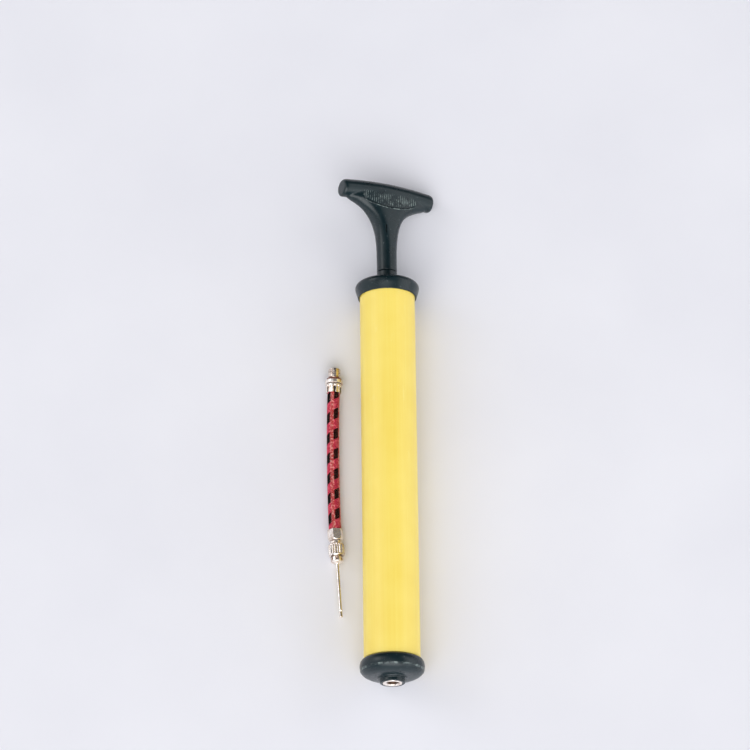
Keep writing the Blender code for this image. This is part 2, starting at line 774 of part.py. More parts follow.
def make_needle():
    """The threaded hub and the needle, which has a closed round tip and an air hole in its side."""
    root = 2.7
    thread_start = 11.1
    crest = 3.05
    outline = [(1.1, 20.8), (1.45, 20.7), (2.9, 19.7), (3.5, 19.3), (3.7, 18.9), (3.7, 17.2), (3.5, 16.7)]
    outline.append((root, 16.7))
    for i in range(4):
        top = 15.9 - i * THREAD_PITCH * 1.15
        outline += [(root, top), (crest, top - 0.55)]
    outline += [(root, thread_start), (1.1, thread_start)]
    turned("needle_hub", outline, NEEDLE, NICKEL)
    bore = 0.55
    tip = arc((0.0, NEEDLE_TIP - NEEDLE_RADIUS), NEEDLE_RADIUS, 90, 0, 4)
    tube_outline = [(0.0, NEEDLE_TIP), *tip[1:], (NEEDLE_RADIUS, 12.0), (bore, 12.0)]
    tube_outline += [(bore, NEEDLE_TIP - 2.2), (0.0, NEEDLE_TIP - 2.0)]
    needle = turned("needle_tube", tube_outline, NEEDLE, STEEL, 16)
    hole = crossbar("needle_air_hole", 0.42, 2.0, NEEDLE_TIP - 3.4, NEEDLE)
    hole.location = Vector((0.0, 1.0, 0.0)) * MM
    combine(needle, hole)


clear_scene()
PARTS = new_collection("ball_pump")
CUTTERS = new_collection("cutters")

YELLOW = material("yellow_plastic", (0.93, 0.68, 0.08), 0.35)
BLACK = material("black_plastic", (0.018, 0.02, 0.022), 0.35)
NICKEL = material("nickel_plate", (0.78, 0.75, 0.68), 0.22, 1.0)
CHROME = material("chromed_rod", (0.8, 0.81, 0.82), 0.12, 1.0)
STEEL = material("bright_steel", (0.72, 0.72, 0.72), 0.28, 1.0)
RUBBER = material("black_rubber", (0.025, 0.025, 0.025), 0.7)
RED_RUBBER = material("red_rubber", (0.35, 0.12, 0.09), 0.7)
NYLON = material("white_nylon", (0.85, 0.84, 0.8), 0.45)
BRAID = material("red_braid", (0.65, 0.03, 0.06), 0.75)

AXIS_HEIGHT = COLLAR_RADIUS * math.cos(math.pi / LARGE_SIDES)
FERRULE_TURN = math.radians(15)
HALF_LENGTH = PUMP_LENGTH / 2
PUMP = axis_empty("pump_axis", (0.0, -HALF_LENGTH, AXIS_HEIGHT), (math.radians(-90), 0.0, 0.0))
CONNECTOR = axis_empty("connector_axis", CONNECTOR_END, (math.radians(-90), 0.0, -CONNECTOR_ANGLE))
NEEDLE = axis_empty("needle_axis", NEEDLE_END, (math.radians(90), 0.0, NEEDLE_ANGLE))
LAY_DOWN = Matrix.Rotation(math.radians(-90), 4, "X")
PUMP_MATRIX = Matrix.Translation((0.0, -HALF_LENGTH, AXIS_HEIGHT)) @ LAY_DOWN

make_barrel()
make_end_cap()
make_outlet_insert()
make_check_valve()
make_collar()
make_piston()
make_rod()
make_handle()
make_connector()
make_connector_ferrule()
make_hose()
make_needle_ferrule()
make_needle_adapter()
make_coupling_nut()
make_needle()
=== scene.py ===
"""The looks of the ball inflation pump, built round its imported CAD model.

Turned pieces are drawn in millimetres on the local Z axis of one of three axes: the pump's own,
the threaded connector's and the needle's. Each axis is a matrix that also turns millimetres into
metres.
"""

import math

import bmesh
import bpy
from mathutils import Matrix, Vector
from mathutils.bvhtree import BVHTree


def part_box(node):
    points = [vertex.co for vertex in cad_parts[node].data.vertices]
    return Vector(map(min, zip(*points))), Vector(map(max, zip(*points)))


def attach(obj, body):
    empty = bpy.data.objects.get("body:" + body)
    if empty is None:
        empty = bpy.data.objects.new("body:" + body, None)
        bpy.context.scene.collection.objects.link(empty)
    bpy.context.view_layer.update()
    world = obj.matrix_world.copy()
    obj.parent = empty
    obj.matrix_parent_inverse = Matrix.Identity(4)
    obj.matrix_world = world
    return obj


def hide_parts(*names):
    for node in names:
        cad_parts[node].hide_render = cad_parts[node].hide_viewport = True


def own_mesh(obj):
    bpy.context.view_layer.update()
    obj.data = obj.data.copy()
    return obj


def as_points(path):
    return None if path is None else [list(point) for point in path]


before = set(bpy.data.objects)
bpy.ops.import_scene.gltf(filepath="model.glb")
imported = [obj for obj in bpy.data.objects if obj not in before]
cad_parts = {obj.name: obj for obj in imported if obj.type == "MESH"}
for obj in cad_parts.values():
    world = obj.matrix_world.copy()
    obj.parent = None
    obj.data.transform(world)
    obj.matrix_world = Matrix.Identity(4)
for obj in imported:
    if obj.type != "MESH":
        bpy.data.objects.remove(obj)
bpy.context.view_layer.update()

MM = 0.001
SIDES = 96
FINE_SIDES = 144

# Camera, in metres, with the lens in millimetres.
VIEW_TARGET = (-0.00768, 0.03992, 0.0)
VIEW_DISTANCE = 2.2033
VIEW_ELEVATION = math.radians(69.1)
VIEW_ROLL = math.radians(-0.704)
LENS = 181.44

# Studio: soft panels of light, as azimuth from +X, elevation and half angle in degrees, and
# brightness.
PANELS = [
    (-97.0, 44.0, 32.0, 2.8),  # the key, on the camera's side and below it
    (-12.0, 6.0, 38.0, 1.5),  # a wide low one on the right
    (-62.0, 8.0, 26.0, 1.0),  # low, between those two
    (180.0, 8.0, 36.0, 0.8),  # a wide low one on the left
    (160.0, 58.0, 22.0, 0.45),  # high on the left
    (156.0, 34.0, 8.0, 2.3),  # a narrow bright one on the left, for glints
    (28.0, 36.0, 7.0, 1.3),  # and one on the right
]
PANEL_SOFTNESS = 9.0  # degrees over which a panel's edge fades, each way
DIM_GLOW = 0.05

# Heights along the pump's axis from the outlet's face, and radii, all in millimetres.
BARREL_RADIUS = 16.0
BARREL_BORE = 14.3
BARREL_BOTTOM = 14.2
BARREL_TOP = 238.3
NECK_BOTTOM = 249.0
NECK_RADIUS = 5.85
ROD_RADIUS = 4.0
ROD_BORE = 3.1
ROD_BOTTOM = 48.0
ROD_TOP = 281.0

# T-handle, in millimetres.
PUMP_LENGTH = 304.8
HANDLE_TURN = math.radians(27.5)
HANDLE_HALF_LENGTH = 29.3
BAR_DROOP = 1.9
BAR_END_HALF_HEIGHT = 5.3
BAR_MIDDLE_HALF_HEIGHT = 5.5
BAR_END_HALF_DEPTH = 5.8
BAR_MIDDLE_HALF_DEPTH = 6.8
FLARE_BOTTOM = 262.0
FLARE_TOP = 292.5
FLARE_SPREAD = 20.4
FLARE_DECAY = 6.2
FLARE_DEEPENING = 0.7
FLARE_SQUARENESS = 0.35
NECK_TOP = 298.0  # inside the bar
HANDLE_VOXEL = 0.36
HANDLE_BORE = 4.25

# The ribbed panel on each face of the handle's bar, in millimetres.
PANEL_HALF_LENGTH = 17.0
PANEL_TOP = 298.4
PANEL_MIDDLE_BOTTOM = 287.8
PANEL_END_BOTTOM = 291.9
PANEL_DEPTH = 0.55
RIB_SPACING = 1.3
RIB_HALF_WIDTH = 0.32
RIB_RISE = 0.34
RIB_MARGIN = 0.9  # between a rib's ends and the panel's edges
SHORTEST_RIB = 2.0
LIP_HALF_WIDTH = 0.42
LIP_RISE = 0.26
RIDGE_ROOT = 0.12  # how far a ridge is sunk into the handle

# Hose kit, in millimetres: where each fitting meets the hose, and its axis's angle from Y.
CONNECTOR_END = (-31.78, 26.5, 5.35)
CONNECTOR_ANGLE = math.radians(2.2)
NEEDLE_END = (-31.62, -56.7, 4.65)
NEEDLE_ANGLE = math.radians(3.3)
THREAD_PITCH = 1.0
GROOVE_RADIUS = 4.25  # inside this, the fluted pieces are darker: painted shade in the grooves

# The hose, from inside one ferrule to inside the other, in metres.
HOSE_ROUTE = [
    (-0.03159, 0.03149, 0.00535),
    (-0.03166, 0.02950, 0.00535),
    (-0.03178, 0.02650, 0.00533),
    (-0.03198, 0.02280, 0.00522),
    (-0.03216, 0.01700, 0.00492),
    (-0.03229, 0.01120, 0.00448),
    (-0.03238, 0.00450, 0.00404),
    (-0.03243, -0.00220, 0.00378),
    (-0.03245, -0.00900, 0.00370),
    (-0.03244, -0.01600, 0.00370),
    (-0.03240, -0.02300, 0.00370),
    (-0.03233, -0.03000, 0.00374),
    (-0.03221, -0.03700, 0.00390),
    (-0.03204, -0.04420, 0.00420),
    (-0.03187, -0.05020, 0.00447),
    (-0.03177, -0.05330, 0.00458),
    (-0.03162, -0.05670, 0.00465),
    (-0.03145, -0.05970, 0.00465),
    (-0.03127, -0.06270, 0.00465),
]

# Braid, in millimetres and degrees: sixteen carriers of two yarns, half winding each way.
CARRIERS_EACH_WAY = 8
BLACK_CARRIERS = 4
BRAID_LEAD = 12.3
BRAID_RADIUS = 3.29
BRAID_CROWN = 0.15  # how far a yarn rises over the ones that it crosses
FIRST_BLACK_ANGLE = -20.7
OTHER_WAY_ANGLE = 18.2
OVER_ANGLE = 57.0
OVER_SHARE = 0.35  # above zero, the black carriers' way round shows more than the other way
CROSSING_SHARPNESS = 2.6
YARN_PITCH = 0.65
YARN_HALF_WIDTH = 0.30
YARN_HALF_THICKNESS = 0.24
YARN_SIDES = 6
DEGREES_A_STEP = 10
CORE_RADIUS = 2.98

# Each yarn's painted shadow, own colour, painted highlight, sheen and, for black, IOR.
YARNS = {
    "yarn_red": ((0.30, 0.002, 0.022), (1.0, 0.048, 0.135), (1.0, 0.16, 0.23), 0.12),
    "yarn_black": ((0.001, 0.001, 0.001), (0.004, 0.002, 0.002), (0.016, 0.010, 0.008), 0.0, 1.2),
    # a lighter copy of the red yarn for the yarns that wind the other way: painted highlight
    "yarn_red_painted_highlight": ((0.27, 0.003, 0.010), (1.0, 0.12, 0.12), (1.0, 0.52, 0.47), 0.2),
}

# Each metal's bright and dull colour, lowest and highest roughness and depth of its turning lines
# in millimetres. A last number is how metallic it is, where that isn't 1.
METALS = {
    "nickel_plate": ((0.96, 0.89, 0.84), (0.58, 0.44, 0.35), 0.10, 0.22, 0.012, 0.75),
    # a darker copy of the nickel plate for grooves, threads and notches: painted shade
    "nickel_painted_shade": ((0.92, 0.83, 0.76), (0.40, 0.28, 0.21), 0.10, 0.22, 0.012),
    # a dark brass for the outlet's bore: painted shade in the hole
    "brass_painted_shade": ((0.24, 0.15, 0.10), (0.07, 0.045, 0.03), 0.30, 0.45, 0.012),
    "needle_steel": ((0.88, 0.82, 0.78), (0.66, 0.57, 0.51), 0.10, 0.20, 0.008, 0.92),
    "chromed_rod": ((0.86, 0.87, 0.88), (0.76, 0.77, 0.78), 0.07, 0.16, 0.004),
    "bright_steel": ((0.80, 0.80, 0.79), (0.66, 0.64, 0.60), 0.18, 0.30, 0.008),
}


# Geometry helpers


def smoothstep(t):
    """0 to 1 with a soft start and end."""
    t = min(1.0, max(0.0, t))
    return t * t * (3 - 2 * t)


def axis_matrix(location, rotation):
    """From millimetres on a turned piece's own axes to metres in the model."""
    turn = Matrix.Rotation(rotation[2], 4, "Z") @ Matrix.Rotation(rotation[0], 4, "X")
    return Matrix.Translation(location) @ turn @ Matrix.Scale(MM, 4)


def rounded(outline, steps=5):
    """An outline of (radius, height) points; a third number rounds the corner off from that far."""
    points = []
    for i, (radius, height, *setback) in enumerate(outline):
        corner = Vector((radius, height))
        if not setback:
            points.append(corner)
            continue
        before = Vector(outline[i - 1][:2])
        after = Vector(outline[(i + 1) % len(outline)][:2])
        start = corner + (before - corner).normalized() * setback[0]
        end = corner + (after - corner).normalized() * setback[0]
        for k in range(steps + 1):
            t = k / steps
            points.append(start.lerp(corner, t).lerp(corner.lerp(end, t), t))
    return points


def spread(start, end, steps):
    """Evenly spaced outline points between two points, without those, for a patterned stretch."""
    first = Vector(start)
    last = Vector(end)
    return [tuple(first.lerp(last, k / steps)) for k in range(1, steps)]


def finish_mesh(name, build, angle=32):
    """Turns a bmesh into an object with smooth round surfaces and crisp edges."""
    bmesh.ops.recalc_face_normals(build, faces=build.faces)
    mesh = bpy.data.meshes.new(name)
    build.to_mesh(mesh)
    build.free()
    mesh.shade_smooth()
    mesh.set_sharp_from_angle(angle=math.radians(angle))
    obj = bpy.data.objects.new(name, mesh)
    bpy.context.scene.collection.objects.link(obj)
    return obj


def weighted_normals(obj):
    """Keeps the flats flat beside rounded corners."""
    modifier = obj.modifiers.new("Flats", "WEIGHTED_NORMAL")
    modifier.keep_sharp = True
    modifier.weight = 60
    return obj


def dress(obj, slot, body, *nodes):
    """Gives a piece its finish, hangs it on what it moves with and hides the CAD parts it stands
    for.
    """
    if not obj.data.materials:
        obj.data.materials.append(FINISHES[slot])
    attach(obj, body)
    if nodes:
        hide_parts(*nodes)
    return obj


def lathe(name, outline, axis, sides=SIDES, shape=None):
    """A turned piece; shape, if given, says how far out a point of the outline lies at an angle."""
    build = bmesh.new()
    rows = []
    for radius, height in rounded(outline):
        if radius < 1e-4:
            rows.append([build.verts.new(axis @ Vector((0.0, 0.0, height)))])
            continue
        row = []
        for i in range(sides):
            angle = math.tau * i / sides
            reach = shape(radius, height, angle) if shape else radius
            point = Vector((reach * math.cos(angle), reach * math.sin(angle), height))
            row.append(build.verts.new(axis @ point))
        rows.append(row)
    if len(rows[0]) > 1:
        rows.append(rows[0])
    for first, second in zip(rows, rows[1:]):
        for i in range(sides):
            j = (i + 1) % sides
            corners = [first[i % len(first)], first[j % len(first)]]
            corners += [second[j % len(second)], second[i % len(second)]]
            build.faces.new(dict.fromkeys(corners))
    return weighted_normals(finish_mesh(name, build))


def two_finishes(obj, axis, other, has_other):
    """Nickel plate for a turned piece, and the other finish where has_other says so."""
    obj.data.materials.append(FINISHES["nickel_plate"])
    obj.data.materials.append(FINISHES[other])
    to_axis = axis.inverted()
    for face in obj.data.polygons:
        middle = to_axis @ face.center
        face.material_index = int(has_other(math.hypot(middle.x, middle.y), middle.z))


def loft(build, rings):
    """Adds a closed skin over rings of points in metres, with both ends capped."""
    rows = [[build.verts.new(point) for point in ring] for ring in rings]
    count = len(rows[0])
    for lower, upper in zip(rows, rows[1:]):
        for i in range(count):
            j = (i + 1) % count
            build.faces.new((lower[i], lower[j], upper[j], upper[i]))
    build.faces.new(reversed(rows[0]))
    build.faces.new(rows[-1])


def thread(inner, outer, low, high, depth, pitch):
    """A shape with a helical thread between two heights, on the surface between two radii."""

    def shape(radius, height, angle):
        if not (low < height < high and inner < radius < outer):
            return radius
        phase = (height / pitch - angle / math.tau) % 1.0
        valley = smoothstep((abs(2 * phase - 1) - 0.25) / 0.5)
        fade = smoothstep(min(height - low, high - height) / (0.7 * pitch))
        return radius - depth * valley * fade

    return shape


def flutes(count, depth, low, high, inner, sharpness=1.0):
    """A shape with straight flutes round it that run out at both ends."""

    def shape(radius, height, angle):
        if radius < inner:
            return radius
        wave = (0.5 - 0.5 * math.cos(count * angle)) ** sharpness
        run_out = 0.35 * smoothstep((height - low) / 0.7) + 0.65 * smoothstep((height - low) / 0.4)
        run_out *= smoothstep((high - height) / 0.6)
        return radius - depth * wave * run_out

    return shape


def arched_flutes(count, depth, arch_height, arch_rise, inner):
    """A shape with crimped flutes whose upper ends are round arches."""

    def shape(radius, height, angle):
        if radius < inner:
            return radius
        across = (count * angle / math.pi + 1.0) % 2.0 - 1.0
        above = max(0.0, height - arch_height) / arch_rise
        reach = (across / 0.78) ** 2 + above**2
        return radius - depth * (1.0 - smoothstep((reach - 0.45) / 0.6))

    return shape


def hexagon(half_flat, turn, inner):
    """A shape with six flats."""

    def shape(radius, height, angle):
        if radius < inner:
            return radius
        sixth = math.tau / 6
        from_flat = (angle - turn + sixth / 2) % sixth - sixth / 2
        return min(radius, half_flat / math.cos(from_flat))

    return shape


def notches(count, depth, low, high, inner, half_share):
    """A shape with square notches in its rim."""

    def shape(radius, height, angle):
        if radius < inner or not low < height < high:
            return radius
        across = abs((count * angle / math.pi + 1.0) % 2.0 - 1.0)
        return radius - depth * smoothstep((half_share - across) / 0.12 + 0.5)

    return shape


# Node helpers


def add_node(tree, kind, inputs=None, **settings):
    """A node whose inputs are other nodes' outputs or plain values."""
    node = tree.nodes.new(kind)
    for name, value in settings.items():
        setattr(node, name, value)
    for name, value in (inputs or {}).items():
        if isinstance(value, bpy.types.NodeSocket):
            tree.links.new(value, node.inputs[name])
        else:
            node.inputs[name].default_value = value
    return node


def place(tree, stretch=(1.0, 1.0, 1.0)):
    """Object coordinates, stretched by a factor along each axis."""
    coordinates = add_node(tree, "ShaderNodeTexCoord").outputs["Object"]
    mapping = add_node(tree, "ShaderNodeMapping", {"Vector": coordinates, "Scale": stretch})
    return mapping.outputs["Vector"]


def noise(tree, scale, detail=3.0, stretch=(1.0, 1.0, 1.0), roughness=0.5):
    """Cloudy noise from 0 to 1, mostly near 0.5; scale is in features a metre."""
    settings = {"Scale": scale, "Detail": detail, "Roughness": roughness}
    cloud = add_node(tree, "ShaderNodeTexNoise", {"Vector": place(tree, stretch), **settings})
    return cloud.outputs["Fac"]


def spread_value(tree, value, low, high, result_low=0.0, result_high=1.0):
    """Maps one range of a value onto another, clamped."""
    source = {"Value": value, "From Min": low, "From Max": high}
    target = {"To Min": result_low, "To Max": result_high}
    return add_node(tree, "ShaderNodeMapRange", {**source, **target}).outputs["Result"]


def mix_colour(tree, share, first, second):
    """A colour between two, each a plain colour or a socket."""
    node = add_node(tree, "ShaderNodeMix", data_type="RGBA")
    tree.links.new(share, node.inputs[0])
    for socket, colour in ((node.inputs[6], first), (node.inputs[7], second)):
        if isinstance(colour, bpy.types.NodeSocket):
            tree.links.new(colour, socket)
        else:
            socket.default_value = (*colour, 1.0)
    return node.outputs[2]


def bump(tree, height, distance, strength=1.0, below=None):
    """A bump of that height in millimetres, on top of another."""
    inputs = {"Height": height, "Distance": distance * MM, "Strength": strength}
    if below:
        inputs["Normal"] = below
    return add_node(tree, "ShaderNodeBump", inputs).outputs["Normal"]


def new_material(name, metallic=0.0, **sockets):
    """A Principled material; sockets are plain values for the shader's own inputs."""
    made = bpy.data.materials.new(name)
    made.use_nodes = True
    shader = made.node_tree.nodes["Principled BSDF"]
    shader.inputs["Metallic"].default_value = metallic
    for socket, value in sockets.items():
        shader.inputs[socket.replace("_", " ")].default_value = value
    return made, made.node_tree, shader


def connect(tree, shader, colour, roughness, normal):
    """Feeds the shader's three inputs that vary over the surface."""
    tree.links.new(colour, shader.inputs["Base Color"])
    tree.links.new(roughness, shader.inputs["Roughness"])
    tree.links.new(normal, shader.inputs["Normal"])


# Finishes


def yellow_plastic():
    """Extruded tube: faint draw lines along it, a soft mottle and a few light rub marks."""
    made, tree, shader = new_material("yellow_plastic", IOR=1.5)
    along_tube = (1.0, 0.012, 1.0)
    streaks = noise(tree, 900.0, 3.0, along_tube)
    mottle = noise(tree, 45.0, 2.0)
    grain = noise(tree, 5200.0, 2.0)
    rubs = spread_value(tree, noise(tree, 260.0, 5.0, (1.0, 0.25, 1.0), 0.65), 0.62, 0.72)
    deep = (0.930, 0.705, 0.125)
    light = (0.960, 0.750, 0.155)
    streak = (0.98, 0.82, 0.24)
    rubbed = (0.98, 0.86, 0.36)
    base = mix_colour(tree, spread_value(tree, mottle, 0.3, 0.7), deep, light)
    base = mix_colour(tree, spread_value(tree, streaks, 0.45, 0.8, 0.0, 0.35), base, streak)
    base = mix_colour(tree, spread_value(tree, rubs, 0.0, 1.0, 0.0, 0.22), base, rubbed)
    roughness = spread_value(tree, streaks, 0.3, 0.7, 0.33, 0.43)
    lines = bump(tree, streaks, 0.025)
    connect(tree, shader, base, roughness, bump(tree, grain, 0.004, 1.0, lines))
    return made


def black_plastic(name, rubbed):
    """Moulded plastic: a fine grain, slight flow marks and, as far as it is rubbed, pale scuff
    marks with painted highlight.
    """
    made, tree, shader = new_material(name, IOR=1.46)
    cloud = noise(tree, 130.0, 3.0)
    grain = noise(tree, 3400.0, 3.0)
    dust = spread_value(tree, noise(tree, 1300.0, 2.0, (1.0, 0.6, 1.0)), 0.68, 0.75)
    # Pale scuff marks: partly rubbing, partly a painted highlight.
    scuff_highlight_noise = noise(tree, 330.0, 4.0, roughness=0.62)
    scuff_highlight_share = spread_value(tree, scuff_highlight_noise, 0.44, 0.66, 0.0, rubbed)
    deep = (0.0030, 0.0115, 0.0150)
    light = (0.0055, 0.0170, 0.0215)
    dusty = (0.19, 0.22, 0.23)
    scuff_highlight_colour = (0.21, 0.26, 0.25)
    base = mix_colour(tree, spread_value(tree, cloud, 0.3, 0.7), deep, light)
    base = mix_colour(tree, spread_value(tree, dust, 0.0, 1.0, 0.0, 0.4), base, dusty)
    base = mix_colour(tree, scuff_highlight_share, base, scuff_highlight_colour)
    roughness = spread_value(tree, cloud, 0.3, 0.7, 0.24, 0.34)
    flow = bump(tree, cloud, 0.09)
    connect(tree, shader, base, roughness, bump(tree, grain, 0.018, 0.8, flow))
    return made


def plated_metal(name, bright, dull, low_roughness, high_roughness, line_depth, metallic=1.0):
    """Plated or drawn metal: turning lines round the piece, patchy polish and tarnish in places."""
    made, tree, shader = new_material(name, metallic)
    turning = noise(tree, 40.0, 2.0, (1.0, 140.0, 1.0))
    patches = noise(tree, 420.0, 4.0)
    pits = noise(tree, 2600.0, 2.0)
    base = mix_colour(tree, spread_value(tree, patches, 0.42, 0.72), bright, dull)
    roughness = spread_value(tree, patches, 0.35, 0.65, low_roughness, high_roughness)
    lines = bump(tree, turning, line_depth)
    connect(tree, shader, base, roughness, bump(tree, pits, 0.004, 0.7, lines))
    return made


def soft_rubber(name, dark, light):
    """Moulded rubber with a bloom on it."""
    made, tree, shader = new_material(name, IOR=1.45)
    bloom = noise(tree, 600.0, 4.0)
    grain = noise(tree, 4200.0, 2.0)
    base = mix_colour(tree, spread_value(tree, bloom, 0.35, 0.7), dark, light)
    roughness = spread_value(tree, bloom, 0.3, 0.7, 0.55, 0.8)
    connect(tree, shader, base, roughness, bump(tree, grain, 0.02))
    return made


def white_nylon():
    """Turned nylon, with faint tool marks."""
    made, tree, shader = new_material("white_nylon", IOR=1.53)
    turning = noise(tree, 50.0, 2.0, (1.0, 90.0, 1.0))
    cloud = noise(tree, 300.0, 3.0)
    creamy = (0.74, 0.72, 0.66)
    white = (0.83, 0.82, 0.78)
    base = mix_colour(tree, spread_value(tree, cloud, 0.3, 0.7), creamy, white)
    roughness = spread_value(tree, cloud, 0.3, 0.7, 0.36, 0.5)
    connect(tree, shader, base, roughness, bump(tree, turning, 0.02))
    return made


def yarn(name, shadow, colour, highlight, sheen, ior=1.4):
    """Twisted polyester yarn: filaments run slantwise round it, a light fuzz, painted shade and
    highlights.
    """
    made, tree, shader = new_material(name, Sheen_Weight=sheen, Sheen_Roughness=0.4, IOR=ior)
    filament_slope = math.radians(62)
    strand = add_node(tree, "ShaderNodeUVMap", uv_map="yarn").outputs["UV"]
    round_it = add_node(tree, "ShaderNodeSeparateXYZ", {"Vector": strand}).outputs["X"]
    twice_round = {0: round_it, 1: 2 * math.tau}
    turn = add_node(tree, "ShaderNodeMath", twice_round, operation="MULTIPLY").outputs[0]
    flank_shade = add_node(tree, "ShaderNodeMath", {0: turn}, operation="COSINE").outputs[0]
    slant = {"Vector": strand, "Rotation": (0.0, 0.0, filament_slope)}
    slanted = add_node(tree, "ShaderNodeMapping", slant).outputs["Vector"]
    twist = {"Vector": slanted, "Scale": 2.4, "Distortion": 1.2, "Detail": 2.0}
    filaments = add_node(tree, "ShaderNodeTexWave", twist).outputs["Fac"]
    patches = noise(tree, 900.0, 3.0)
    # Painted shade between the filaments.
    base = mix_colour(tree, spread_value(tree, filaments, 0.1, 0.9), shadow, colour)
    # Painted highlight in patches.
    base = mix_colour(tree, spread_value(tree, patches, 0.50, 0.64, 0.0, 0.85), base, highlight)
    # Painted shade along each yarn's two sides.
    base = mix_colour(tree, spread_value(tree, flank_shade, 0.0, 1.0, 0.0, 0.85), base, shadow)
    roughness = spread_value(tree, patches, 0.3, 0.7, 0.5, 0.72)
    connect(tree, shader, base, roughness, bump(tree, filaments, 0.05, 0.9))
    return made


def floor_finish():
    """A pale matt table top."""
    made, tree, shader = new_material("pale_floor")
    cloud = noise(tree, 9.0, 3.0)
    grain = noise(tree, 1400.0, 2.0)
    deep = (0.780, 0.775, 0.825)
    light = (0.815, 0.810, 0.855)
    base = mix_colour(tree, spread_value(tree, cloud, 0.3, 0.7), deep, light)
    roughness = spread_value(tree, cloud, 0.3, 0.7, 0.6, 0.72)
    connect(tree, shader, base, roughness, bump(tree, grain, 0.02, 0.4))
    return made


# Pump body


def make_barrel():
    """The yellow tube."""
    outline = [
        (BARREL_BORE, BARREL_TOP, 0.35),
        (BARREL_RADIUS, BARREL_TOP, 0.5),
        (BARREL_RADIUS, BARREL_BOTTOM, 0.5),
        (BARREL_BORE, BARREL_BOTTOM, 0.35),
    ]
    dress(lathe("barrel_tube", outline, PUMP, FINE_SIDES), "yellow_plastic", "barrel", "barrel")


def make_end_cap():
    """The cap at the outlet, a boss in a moulded root and a worn parting line round it, with
    painted highlight.
    """
    outline = [
        (11.7, 24.0, 0.3),
        (14.0, 24.0, 0.5),
        (14.0, 20.4),
        (12.75, 20.4),
        (12.75, 18.2),
        (14.0, 18.2),
        (14.0, 13.9),
        (16.2, 13.9, 0.25),
        (17.45, 13.25, 0.9),
        (18.2, 11.6, 0.9),
        (18.42, 9.6, 0.9),
        (18.05, 7.4, 0.9),
        (17.3, 6.0, 0.9),
        (15.4, 4.5, 1.2),
        (13.0, 3.65, 0.8),
        (8.7, 3.1, 0.3),
        (8.4, 2.5, 0.15),
        (7.45, 2.5, 0.1),
        (7.2, 2.15, 0.1),
        (7.2, 0.15, 0.55),
        (5.85, 0.15, 0.2),
        (5.85, 8.2),
        (3.6, 8.2),
        (3.6, 17.0),
        (1.8, 17.0),
        (1.8, 20.6),
        (3.0, 22.0),
        (6.4, 22.0),
        (6.4, 7.2),
        (11.7, 7.2),
    ]
    dress(lathe("end_cap_shell", outline, PUMP, FINE_SIDES), "black_plastic", "barrel", "end_cap")
    ridge = [(17.5, 7.95), (18.23, 7.75, 0.12), (17.86, 6.75, 0.12), (17.2, 6.6)]
    parting_line = lathe("cap_parting_line", ridge, PUMP, FINE_SIDES)
    # Its pale scuff marks are partly rubbing and partly a painted broken highlight.
    parting_line.data.materials.append(FINISHES["worn_plastic_painted_highlight"])
    dress(parting_line, "black_plastic", "barrel")


def make_outlet():
    """The threaded metal insert in the outlet."""
    crest = 3.42
    outline = [(5.6, 8.0, 0.2), (5.6, 0.0, 0.45), (4.2, 0.0, 0.15), (crest, 0.75, 0.1)]
    outline += spread((crest, 0.8), (crest, 6.5), 40)
    outline += [(crest, 6.6), (1.4, 6.6, 0.15), (1.4, 8.0)]
    groove = thread(crest - 0.1, crest + 0.1, 0.7, 6.4, -0.3, THREAD_PITCH)
    socket = lathe("outlet_socket", outline, PUMP, SIDES, groove)
    bore = 3.75
    # The bore gets the dark brass: painted shade in the hole.
    two_finishes(socket, PUMP, "brass_painted_shade", lambda radius, height: radius < bore)
    dress(socket, "nickel_plate", "barrel", "outlet_insert")


def squash_spring(spring):
    """Gives the valve's spring a mesh of its own."""
    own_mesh(spring)


def make_collar():
    """The top cap: a flared skirt, a shallow shoulder and the boss that the neck meets."""
    outline = [
        (4.3, 248.7, 0.15),
        (5.85, 248.7, 0.3),
        (5.85, 244.6, 0.5),
        (6.7, 242.8, 0.7),
        (9.0, 242.3, 0.9),
        (14.4, 242.0, 1.2),
        (17.0, 241.2, 1.0),
        (18.25, 240.1, 0.8),
        (18.65, 238.6, 0.8),
        (18.3, 236.9, 0.9),
        (17.35, 234.0, 0.8),
        (17.0, 232.7, 0.25),
        (16.3, 232.7, 0.15),
        (16.3, 238.6),
        (14.0, 238.6),
        (14.0, 230.0),
        (12.6, 230.0),
        (12.6, 238.6),
        (8.2, 238.6),
        (8.2, 229.0),
        (6.2, 229.0),
        (6.2, 240.0),
        (4.3, 240.0),
    ]
    dress(lathe("collar_shell", outline, PUMP, FINE_SIDES), "black_plastic", "barrel", "collar")


# Plunger


def make_rod():
    """The plunger's tube, which shows when the handle is pulled out."""
    outline = [
        (ROD_BORE, ROD_TOP, 0.2),
        (ROD_RADIUS, ROD_TOP, 0.25),
        (ROD_RADIUS, ROD_BOTTOM, 0.25),
        (ROD_BORE, ROD_BOTTOM, 0.2),
    ]
    dress(lathe("plunger_tube", outline, PUMP), "chromed_rod", "plunger", "plunger_rod")


def bar_ring(along, share, count=48):
    """A section of the handle's bar at a distance along it."""
    end = abs(along) / HANDLE_HALF_LENGTH
    middle = smoothstep(1 - end)
    half_height = BAR_END_HALF_HEIGHT + (BAR_MIDDLE_HALF_HEIGHT - BAR_END_HALF_HEIGHT) * middle
    half_depth = BAR_END_HALF_DEPTH + (BAR_MIDDLE_HALF_DEPTH - BAR_END_HALF_DEPTH) * middle
    centre = PUMP_LENGTH - BAR_DROOP * end**2 - half_height
    ring = []
    for i in range(count):
        angle = math.tau * i / count
        depth = half_depth * share * math.cos(angle)
        ring.append((along, depth, centre + half_height * share * math.sin(angle)))
    return ring


